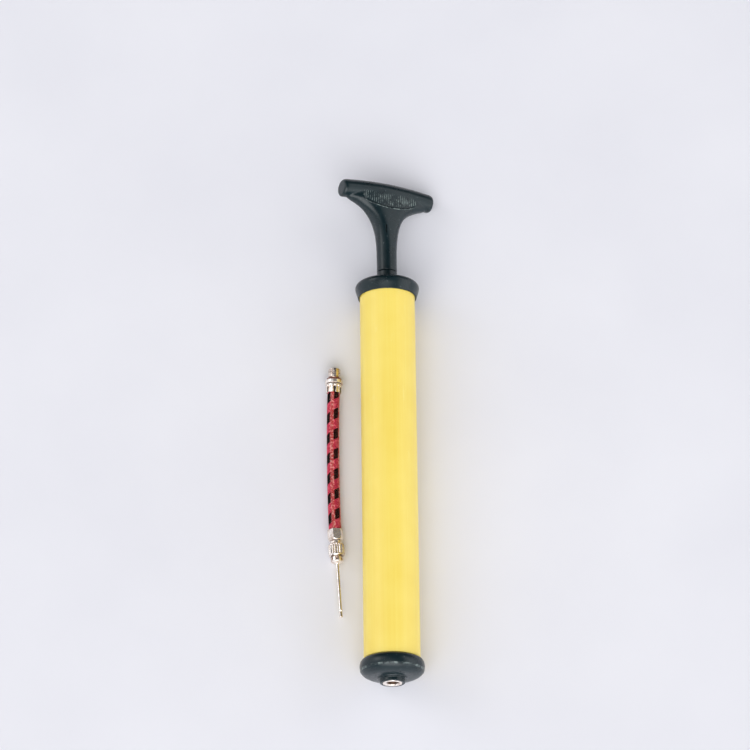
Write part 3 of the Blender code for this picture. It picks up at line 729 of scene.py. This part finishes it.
def neck_ring(height, count=48):
    """A section of the handle's neck, which flares into the bar."""
    widest = HANDLE_HALF_LENGTH - 3.0
    half_width = NECK_RADIUS + FLARE_SPREAD * math.exp((height - FLARE_TOP) / FLARE_DECAY)
    half_width = min(widest, half_width)
    half_depth = NECK_RADIUS + FLARE_DEEPENING * smoothstep((height - FLARE_BOTTOM) / 30.0)
    squareness = FLARE_SQUARENESS * smoothstep((height - FLARE_BOTTOM) / 20.0)
    squareness *= smoothstep((FLARE_TOP - height) / 10.0)
    fullness = 1 - squareness
    ring = []
    for i in range(count):
        across = math.cos(math.tau * i / count)
        deep = math.sin(math.tau * i / count)
        x = half_width * math.copysign(abs(across) ** fullness, across)
        ring.append((x, half_depth * math.copysign(abs(deep) ** fullness, deep), height))
    return ring


def panel_bottom(along):
    """Height of the ribbed panel's lower edge, an arc."""
    rise = PANEL_END_BOTTOM - PANEL_MIDDLE_BOTTOM
    return PANEL_MIDDLE_BOTTOM + rise * (along / PANEL_HALF_LENGTH) ** 2


def panel_top(along):
    """Height of the ribbed panel's upper edge, which follows the bar's crown."""
    return PANEL_TOP - BAR_DROOP * (along / HANDLE_HALF_LENGTH) ** 2


def panel_recess(point):
    """How far a point of the handle's face is pressed in."""
    faces_from = 3.0
    along, depth, height = point
    if abs(depth) < faces_from:
        return 0.0
    below = smoothstep((height - panel_bottom(along)) / 0.6)
    above = smoothstep((panel_top(along) - height) / 5.0)
    beside = smoothstep((PANEL_HALF_LENGTH - abs(along)) / 2.5)
    return PANEL_DEPTH * below * above * beside


def make_handle():
    """The T-handle as one moulding, with the two panels pressed in and the rod's bore."""
    # The bar's rounded ends, as the distance from the tip and the share of the full section there.
    ends = [(0.0, 0.72), (0.12, 0.82), (0.4, 0.90), (0.9, 0.955), (1.6, 0.985), (2.6, 1.0)]
    stations = [(HANDLE_HALF_LENGTH - inset, share) for inset, share in ends]
    stations += [(along, 1.0) for along in (24.0, 20.0, 16.0, 12.0, 8.0, 4.0)]
    bar = [bar_ring(-along, share) for along, share in stations]
    bar.append(bar_ring(0.0, 1.0))
    bar += [bar_ring(along, share) for along, share in reversed(stations)]
    climb = [1 - (1 - k / 30) ** 1.6 for k in range(31)]
    neck = [neck_ring(NECK_BOTTOM + (NECK_TOP - NECK_BOTTOM) * share) for share in climb]
    build = bmesh.new()
    for rings in (bar, neck):
        loft(build, [[Vector(point) for point in ring] for ring in rings])
    obj = finish_mesh("handle_moulding", build)
    remesh = obj.modifiers.new("Join", "REMESH")
    remesh.mode = "VOXEL"
    remesh.voxel_size = HANDLE_VOXEL
    soften = obj.modifiers.new("Soften", "SMOOTH")
    soften.factor = 0.5
    soften.iterations = 9
    apply_modifiers(obj)
    for vertex in obj.data.vertices:
        recess = panel_recess(vertex.co)
        if recess:
            vertex.co.y -= math.copysign(recess, vertex.co.y)
    cut_handle(obj)
    obj.data.transform(PUMP @ Matrix.Rotation(HANDLE_TURN, 4, "Z"))
    obj.data.shade_smooth()
    obj.data.set_sharp_from_angle(angle=math.radians(40))
    return dress(obj, "black_plastic", "plunger", "t_handle")


def apply_modifiers(obj):
    """Replaces an object's mesh with its evaluated one."""
    bpy.context.view_layer.update()
    evaluated = obj.evaluated_get(bpy.context.evaluated_depsgraph_get())
    mesh = bpy.data.meshes.new_from_object(evaluated)
    obj.modifiers.clear()
    obj.data = mesh


def cut_handle(obj):
    """Cuts the rod's bore, and the small slot that the mould leaves in the neck."""
    top = ROD_TOP + 1.0
    bottom = 240.0
    outline = [(0.0, top), (HANDLE_BORE, top), (HANDLE_BORE, bottom), (0.0, bottom)]
    bore = lathe("bore_cutter", outline, Matrix.Identity(4))
    slot_build = bmesh.new()
    across = Matrix.Rotation(-HANDLE_TURN, 4, "Z")
    size = Matrix.Diagonal((0.7, 1.6, 5.0, 1.0))
    bmesh.ops.create_cube(slot_build, matrix=across @ Matrix.Translation((0.0, -6.0, 274.4)) @ size)
    slot = finish_mesh("slot_cutter", slot_build)
    for cutter in (bore, slot):
        modifier = obj.modifiers.new("Cut", "BOOLEAN")
        modifier.operation = "DIFFERENCE"
        modifier.object = cutter
    apply_modifiers(obj)
    for cutter in (bore, slot):
        bpy.data.objects.remove(cutter, do_unlink=True)


def make_grip_ribs(handle):
    """The ribs in each panel and the lip along its lower edge, laid on the handle's surface."""
    surface = BVHTree.FromObject(handle, bpy.context.evaluated_depsgraph_get())
    to_model = PUMP @ Matrix.Rotation(HANDLE_TURN, 4, "Z")
    build = bmesh.new()
    rib_count = int(PANEL_HALF_LENGTH / RIB_SPACING)
    for side in (-1, 1):
        for k in range(-rib_count, rib_count + 1):
            along = k * RIB_SPACING
            low = panel_bottom(along) + RIB_MARGIN
            high = panel_top(along) - RIB_MARGIN
            if high - low > SHORTEST_RIB:
                spine = [(along, low + (high - low) * i / 10) for i in range(11)]
                add_ridge(build, surface, to_model, side, spine, RIB_HALF_WIDTH, RIB_RISE)
        lip = [PANEL_HALF_LENGTH * 0.97 * (i / 30 - 1) for i in range(61)]
        spine = [(along, panel_bottom(along) - 0.1) for along in lip]
        add_ridge(build, surface, to_model, side, spine, LIP_HALF_WIDTH, LIP_RISE)
    ribs = finish_mesh("grip_ribs", build, 50)
    # The ribs and lip are paler: partly rubbing, partly a painted highlight on the panel.
    ribs.data.materials.append(FINISHES["rubbed_plastic_painted_highlight"])
    dress(ribs, "black_plastic", "plunger")


def add_ridge(build, surface, to_model, side, spine, half_width, rise):
    """A rounded ridge along a line on the handle's face, given as (along, height) points."""
    direction = (to_model.to_3x3() @ Vector((0.0, -side, 0.0))).normalized()
    clear_of_handle = side * 12.0
    across_steps = 7
    rings = []
    for i, (along, height) in enumerate(spine):
        before = Vector(spine[max(0, i - 1)])
        after = Vector(spine[min(len(spine) - 1, i + 1)])
        step = (after - before).normalized()
        across = Vector((step.y, -step.x))
        taper = math.sin(math.pi * min(1.0, 0.12 + min(i, len(spine) - 1 - i) * 0.22) / 2)
        ring = []
        for k in range(across_steps):
            angle = math.pi * k / (across_steps - 1)
            offset = across * (half_width * math.cos(angle) * (0.4 + 0.6 * taper))
            start = to_model @ Vector((along + offset.x, clear_of_handle, height + offset.y))
            hit = surface.ray_cast(start, direction)[0]
            ring.append(hit - direction * ((rise * math.sin(angle) * taper - RIDGE_ROOT) * MM))
        rings.append(ring)
    loft(build, rings)


# Hose kit


def make_connector():
    """The threaded end: a helical thread, an undercut, a flange and a nipple inside the hose."""
    crest = 3.6
    outline = [(1.6, 14.9, 0.15), (crest, 14.9, 0.45)]
    outline += spread((crest, 14.4), (crest, 9.4), 56)
    outline += [(3.1, 9.3), (2.9, 9.1), (2.9, 7.7), (5.3, 7.7, 0.3), (5.3, 5.7, 0.3)]
    outline += [(1.3, 5.7), (1.3, -5.0), (0.7, -5.0), (0.7, 9.0), (1.6, 10.0)]
    helix = thread(3.2, 3.8, 9.3, 14.7, 0.42, THREAD_PITCH)
    body = lathe("connector_body", outline, CONNECTOR, SIDES, helix)
    flange_top = 7.8
    # Above the flange the thread gets the darker nickel: painted shade.
    two_finishes(body, CONNECTOR, "nickel_painted_shade", lambda radius, height: height > flange_top)
    dress(body, "nickel_plate", "hose", "hose_connector")
    outline = [(3.1, 8.9, 0.2), (4.35, 8.9, 0.35), (4.35, 7.9, 0.3), (3.1, 7.9, 0.2)]
    dress(lathe("connector_washer", outline, CONNECTOR), "red_rubber", "hose", "connector_gasket")


def in_groove(radius, height):
    """Whether a point is in one of the grooves of the crimped ferrule or of the nut, for painted
    shade.
    """
    return radius < GROOVE_RADIUS


def make_crimped_ferrule():
    """The crimped sleeve at the hose's upper end, with arched flutes."""
    outer = 4.52
    outline = [(3.85, 0.0, 0.12), (4.3, 0.0, 0.2)]
    outline += spread((4.42, 0.3), (outer, 5.0), 30)
    outline += [(outer, 5.4, 0.35), (1.6, 5.4), (1.6, 5.05), (3.85, 5.05)]
    crimps = arched_flutes(13, 0.62, 2.7, 1.9, 4.2)
    ferrule = lathe("crimped_ferrule", outline, CONNECTOR, 208, crimps)
    # The flutes get the darker nickel: painted shade.
    two_finishes(ferrule, CONNECTOR, "nickel_painted_shade", in_groove)
    return dress(ferrule, "nickel_plate", "hose", "connector_ferrule")


def make_hex_ferrule():
    """The hexagonal sleeve at the hose's lower end."""
    half_flat = 4.0
    corner = half_flat / math.cos(math.radians(30))
    outline = [(1.7, 6.6), (3.6, 6.6, 0.1)]
    outline += spread((3.7, 6.6), (corner, 5.7), 8)
    outline += spread((corner, 5.7), (corner, 0.3), 6)
    outline += spread((corner, 0.3), (corner - 0.35, 0.0), 4)
    outline += [(3.85, 0.0, 0.1), (3.85, 6.25), (1.7, 6.25)]
    flats = hexagon(half_flat, math.radians(15), 3.95)
    ferrule = lathe("hex_ferrule", outline, NEEDLE, 144, flats)
    return dress(ferrule, "nickel_plate", "hose", "needle_ferrule")


def make_adapter():
    """The lower fitting's neck and flange."""
    outline = [
        (0.7, 10.1),
        (3.7, 10.1, 0.15),
        (3.7, 9.3, 0.15),
        (2.25, 9.3),
        (2.25, 8.4),
        (3.4, 8.4, 0.25),
        (3.4, 6.9, 0.25),
        (1.3, 6.9),
        (1.3, -5.0),
        (0.7, -5.0),
    ]
    dress(lathe("adapter_neck", outline, NEEDLE), "nickel_plate", "hose", "needle_adapter")


def make_coupling_nut():
    """The fluted nut between hose and needle."""
    outer = 4.6
    outline = [(2.5, 8.6), (3.9, 8.6, 0.1)]
    outline += spread((4.0, 8.6), (outer, 9.2), 5)
    outline += spread((outer, 9.3), (outer, 15.2), 24)
    outline += spread((outer, 15.3), (4.1, 15.9), 5)
    outline += [(3.3, 15.9, 0.15), (3.3, 10.9), (4.0, 10.9), (4.0, 9.0), (2.5, 9.0)]
    nut = lathe("fluted_nut", outline, NEEDLE, 216, flutes(18, 0.55, 9.3, 15.2, 4.3, 1.6))
    # The flutes get the darker nickel: painted shade.
    two_finishes(nut, NEEDLE, "nickel_painted_shade", in_groove)
    return dress(nut, "nickel_plate", "coupling_nut", "coupling_nut")


def make_needle_hub():
    """The needle's threaded hub with its notched rim."""
    crest = 2.85
    rim = 3.72
    rim_inner = 3.5
    outline = [(1.1, 20.8), (1.3, 20.8, 0.1), (1.75, 20.3, 0.3), (3.0, 19.6, 0.3)]
    outline += [(3.6, 19.3, 0.25), (rim, 18.9, 0.1)]
    outline += spread((rim, 18.8), (rim, 17.1), 10)
    outline += [(rim, 17.0, 0.15), (3.4, 16.7, 0.1), (crest, 16.6), (crest, 16.3)]
    outline += spread((crest, 16.2), (crest, 11.3), 40)
    outline += [(crest, 11.1, 0.2), (1.1, 11.1)]
    winding = thread(crest - 0.1, crest + 0.1, 11.2, 16.2, 0.35, 1.15)
    notched = notches(8, 0.75, 17.15, 18.75, rim_inner, 0.34)

    def hub_shape(radius, height, angle):
        """The thread below the rim, and the notches in it."""
        if radius < rim_inner:
            radius = winding(radius, height, angle)
        return notched(radius, height, angle)

    def below_rim(radius, height):
        """Whether a point is on the thread or in a notch, for painted shade."""
        return radius < 3.4 and height < 18.9

    hub = lathe("needle_base", outline, NEEDLE, 160, hub_shape)
    # The thread and the notches get the darker nickel: painted shade.
    two_finishes(hub, NEEDLE, "nickel_painted_shade", below_rim)
    dress(hub, "nickel_plate", "needle", "needle_hub")


def make_needle():
    """The needle, with a round tip and an air hole."""
    radius = 0.95
    tip = 52.7
    bulge = 0.06
    outline = [(0.0, tip)]
    for k in range(1, 9):
        angle = math.radians(90 - 90 * k / 8)
        height = tip - radius + radius * math.sin(angle)
        outline.append(((radius + bulge) * math.cos(angle), height))
    outline += [(radius + bulge, 47.5), (radius, 45.5), (radius, 21.6), (radius + 0.12, 20.9)]
    outline += [(radius, 12.0), (0.55, 12.0), (0.55, 50.5), (0.0, 50.7)]
    needle = lathe("needle_pipe", outline, NEEDLE, 48)
    hole_build = bmesh.new()
    hole_radius = 0.42 * MM
    across = Matrix.Rotation(math.radians(90), 4, "X")
    at = Matrix.Translation((0.0, 1.0, 49.3))
    bmesh.ops.create_cone(
        hole_build,
        cap_ends=True,
        segments=24,
        radius1=hole_radius,
        radius2=hole_radius,
        depth=2.0 * MM,
        matrix=NEEDLE @ at @ across @ Matrix.Scale(1 / MM, 4),
    )
    hole = finish_mesh("hole_cutter", hole_build)
    modifier = needle.modifiers.new("Air hole", "BOOLEAN")
    modifier.operation = "DIFFERENCE"
    modifier.object = hole
    apply_modifiers(needle)
    bpy.data.objects.remove(hole, do_unlink=True)
    needle.data.materials.append(FINISHES["needle_steel"])
    dress(needle, "bright_steel", "needle", "needle_tube")


# Hose


def even_line(points, step):
    """Points a step apart on a Catmull-Rom curve through the given ones, which need not be even."""
    route = [Vector(p) for p in points]
    padded = [2 * route[0] - route[1], *route, 2 * route[-1] - route[-2]]
    fine = []
    for a, b, c, d in zip(padded, padded[1:], padded[2:], padded[3:]):
        for i in range(24):
            t = i / 24
            square = 2 * a - 5 * b + 4 * c - d
            cubic = 3 * b - a - 3 * c + d
            fine.append(0.5 * (2 * b + (c - a) * t + square * t**2 + cubic * t**3))
    fine.append(route[-1])
    line = [fine[0]]
    gone = 0.0
    for a, b in zip(fine, fine[1:]):
        length = (b - a).length
        while gone + length >= step * len(line):
            line.append(a.lerp(b, (step * len(line) - gone) / length))
        gone += length
    return line


def line_length(line):
    """Length of a line of points."""
    return sum((b - a).length for a, b in zip(line, line[1:]))


def hose_frames(line):
    """Each point of the line with the directions across it: sideways and upwards."""
    frames = []
    for i, point in enumerate(line):
        forward = (line[min(i + 1, len(line) - 1)] - line[max(i - 1, 0)]).normalized()
        sideways = Vector((1.0, 0.0, 0.0))
        sideways = (sideways - forward * forward.dot(sideways)).normalized()
        frames.append((point, forward, sideways, forward.cross(sideways)))
    return frames


def make_hose():
    """The braided sleeve over its core, and the line that they follow."""
    line = even_line(HOSE_ROUTE, BRAID_LEAD * MM * DEGREES_A_STEP / 360)
    frames = hose_frames(line)
    sleeve = make_sleeve(frames)
    make_core(frames)
    return sleeve, line


def make_sleeve(frames):
    """The braid, yarn by yarn."""
    start = (Vector(HOSE_ROUTE[2]) - Vector(HOSE_ROUTE[0])).length  # hidden in the upper ferrule
    build = bmesh.new()
    strand = build.loops.layers.uv.new("yarn")
    red, black, red_painted_highlight = range(3)
    for k in range(CARRIERS_EACH_WAY):
        around = 360 / CARRIERS_EACH_WAY * k
        colour = black if k < BLACK_CARRIERS else red
        for offset in (-YARN_PITCH / 2, YARN_PITCH / 2):
            add_yarn(build, strand, frames, start, FIRST_BLACK_ANGLE + around, 1, offset, colour)
            # The yarns that wind the other way get the lighter red copy: painted highlight.
            add_yarn(build, strand, frames, start, OTHER_WAY_ANGLE + around, -1, offset, red_painted_highlight)
    sleeve = finish_mesh("hose_sleeve", build, 60)
    for name, values in YARNS.items():
        sleeve.data.materials.append(yarn(name, *values))
    return dress(sleeve, "braid", "hose", "hose_braid")


def make_core(frames):
    """The dark liner that shows between the yarns."""
    core = bmesh.new()
    rings = []
    for point, _, sideways, upwards in frames[::3]:
        ring = []
        for i in range(32):
            angle = math.tau * i / 32
            out = sideways * math.cos(angle) + upwards * math.sin(angle)
            ring.append(point + out * CORE_RADIUS * MM)
        rings.append(ring)
    loft(core, rings)
    dress(finish_mesh("hose_core", core), "black_rubber", "hose", "hose_liner")


def add_yarn(build, strand, frames, start, first_angle, way, offset, colour):
    """One yarn: a flattened tube that winds round the hose and rises over every second pair."""
    slope = math.atan(math.tau * BRAID_RADIUS / BRAID_LEAD)
    rows = []
    for i, (point, forward, sideways, upwards) in enumerate(frames):
        gone = i * BRAID_LEAD * DEGREES_A_STEP / 360 - start / MM
        degrees = first_angle + way * 360 * gone / BRAID_LEAD
        degrees += math.degrees(offset * math.cos(slope) / BRAID_RADIUS) * way
        along = -offset * math.sin(slope)
        crossing = math.cos(4 * math.radians(degrees - OVER_ANGLE)) + OVER_SHARE
        over = math.tanh(CROSSING_SHARPNESS * crossing) * way
        radius = BRAID_RADIUS + BRAID_CROWN * over
        angle = math.radians(degrees)
        out = sideways * math.cos(angle) + upwards * math.sin(angle)
        round_it = (upwards * math.cos(angle) - sideways * math.sin(angle)) * way
        heading = forward * math.cos(slope) + round_it * math.sin(slope)
        across = out.cross(heading)
        centre = point + forward * along * MM + out * radius * MM
        row = []
        for k in range(YARN_SIDES):
            turn = math.tau * k / YARN_SIDES
            wide = across * (YARN_HALF_WIDTH * math.cos(turn))
            thick = out * (YARN_HALF_THICKNESS * math.sin(turn))
            row.append(build.verts.new(centre + (wide + thick) * MM))
        rows.append(row)
    step = BRAID_LEAD / math.cos(slope) * DEGREES_A_STEP / 360
    for i, (first, second) in enumerate(zip(rows, rows[1:])):
        for k in range(YARN_SIDES):
            j = (k + 1) % YARN_SIDES
            face = build.faces.new((first[k], first[j], second[j], second[k]))
            face.material_index = colour
            corners = ((k, i), (k + 1, i), (k + 1, i + 1), (k, i + 1))
            for loop, (round_steps, steps) in zip(face.loops, corners):
                loop[strand].uv = (round_steps / YARN_SIDES, steps * step)
    for row in (reversed(rows[0]), rows[-1]):
        build.faces.new(row).material_index = colour


# Stage


def make_camera():
    """The camera at the photographed angle."""
    tilt = Matrix.Rotation(math.radians(90) - VIEW_ELEVATION, 4, "X")
    roll = Matrix.Rotation(VIEW_ROLL, 4, "Z")
    back = Matrix.Translation((0.0, 0.0, VIEW_DISTANCE))
    data = bpy.data.cameras.new("camera")
    data.lens = LENS
    data.clip_end = 50.0
    camera = bpy.data.objects.new("camera", data)
    camera.matrix_world = Matrix.Translation(VIEW_TARGET) @ (tilt @ roll) @ back
    bpy.context.scene.collection.objects.link(camera)
    bpy.context.scene.camera = camera


def area_light(name, location, target, size, power, colour):
    """A soft rectangular lamp that faces a point, its long side along the pump."""
    data = bpy.data.lights.new(name, "AREA")
    data.shape = "RECTANGLE"
    data.size, data.size_y = size
    data.energy = power
    data.color = colour
    lamp = bpy.data.objects.new(name, data)
    lamp.location = location
    away = Vector(location) - Vector(target)
    sideways = Vector((0.0, 1.0, 0.0)).cross(away).normalized()
    upwards = away.cross(sideways).normalized()
    lamp.rotation_euler = Matrix((sideways, upwards, away.normalized())).transposed().to_euler()
    bpy.context.scene.collection.objects.link(lamp)


def make_world():
    """A dim studio with soft panels of light round it."""
    world = bpy.data.worlds.new("studio")
    world.use_nodes = True
    tree = world.node_tree
    direction = add_node(tree, "ShaderNodeTexCoord").outputs["Generated"]
    glow = DIM_GLOW
    for azimuth, elevation, half_angle, brightness in PANELS:
        up = math.radians(elevation)
        round_it = math.radians(azimuth)
        level = math.cos(up)
        centre = (level * math.cos(round_it), level * math.sin(round_it), math.sin(up))
        pair = {0: direction, 1: centre}
        facing = add_node(tree, "ShaderNodeVectorMath", pair, operation="DOT_PRODUCT")
        outside = math.cos(math.radians(half_angle + PANEL_SOFTNESS))
        inside = math.cos(math.radians(half_angle - PANEL_SOFTNESS))
        panel = spread_value(tree, facing.outputs["Value"], outside, inside, 0.0, brightness)
        glow = add_node(tree, "ShaderNodeMath", {0: panel, 1: glow}, operation="ADD").outputs[0]
    background = tree.nodes["Background"]
    background.inputs["Color"].default_value = (0.99, 1.0, 1.02, 1.0)
    tree.links.new(glow, background.inputs["Strength"])
    bpy.context.scene.world = world


def make_floor():
    """The pale table top."""
    build = bmesh.new()
    bmesh.ops.create_circle(build, cap_ends=True, segments=96, radius=6.0)
    floor = finish_mesh("floor", build)
    floor.data.materials.append(floor_finish())


make_camera()
bpy.context.scene.view_settings.view_transform = "Standard"

FINISHES = {
    "yellow_plastic": yellow_plastic(),
    "black_plastic": black_plastic("black_plastic", 0.0),
    # Pale scuff marks, partly rubbing and partly painted highlight, on the parting line and the
    # grip.
    "worn_plastic_painted_highlight": black_plastic("worn_plastic_painted_highlight", 0.8),
    "rubbed_plastic_painted_highlight": black_plastic("rubbed_plastic_painted_highlight", 1.0),
    **{name: plated_metal(name, *values) for name, values in METALS.items()},
    "black_rubber": soft_rubber("black_rubber", (0.016, 0.016, 0.017), (0.035, 0.035, 0.036)),
    "red_rubber": soft_rubber("red_rubber", (0.22, 0.075, 0.055), (0.36, 0.14, 0.10)),
    "white_nylon": white_nylon(),
}

pump_low, pump_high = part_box("barrel")
AXIS_X = (pump_low.x + pump_high.x) / 2
AXIS_Z = (pump_low.z + pump_high.z) / 2
OUTLET_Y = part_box("outlet_insert")[0].y
PUMP = axis_matrix((AXIS_X, OUTLET_Y, AXIS_Z), (math.radians(-90), 0.0, 0.0))
CONNECTOR = axis_matrix(Vector(CONNECTOR_END) * MM, (math.radians(-90), 0.0, -CONNECTOR_ANGLE))
NEEDLE = axis_matrix(Vector(NEEDLE_END) * MM, (math.radians(90), 0.0, NEEDLE_ANGLE))

# CAD pieces that are shown as they are.
FINISH_OF_NODE = {
    "end_cap_seal": "black_rubber",
    "valve_seat": "black_rubber",
    "valve_spring": "bright_steel",
    "valve_ball": "bright_steel",
    "rod_bush": "white_nylon",
    "top_bumper": "black_rubber",
    "piston_body": "white_nylon",
    "piston_ring": "black_rubber",
    "rod_stud": "bright_steel",
    "upper_washer": "bright_steel",
    "lower_washer": "bright_steel",
    "piston_nut": "bright_steel",
    "handle_pin": "bright_steel",
    "needle_gasket": "red_rubber",
}
for node, slot_name in FINISH_OF_NODE.items():
    for material_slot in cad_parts[node].material_slots:
        material_slot.material = FINISHES[slot_name]

squash_spring(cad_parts["valve_spring"])
hose, hose_line = make_hose()
make_barrel()
make_end_cap()
make_outlet()
make_collar()
make_rod()
make_grip_ribs(make_handle())
make_connector()
upper_ferrule = make_crimped_ferrule()
lower_ferrule = make_hex_ferrule()
make_adapter()
make_coupling_nut()
make_needle_hub()
make_needle()

line_length(hose_line)
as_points(hose_line)

make_floor()
make_world()
area_light(
    "key",
    location=(-0.12, -0.95, 1.05),
    target=(0.0, 0.04, 0.02),
    size=(0.9, 0.7),
    power=1.5,
    colour=(1.0, 0.99, 0.97),
)
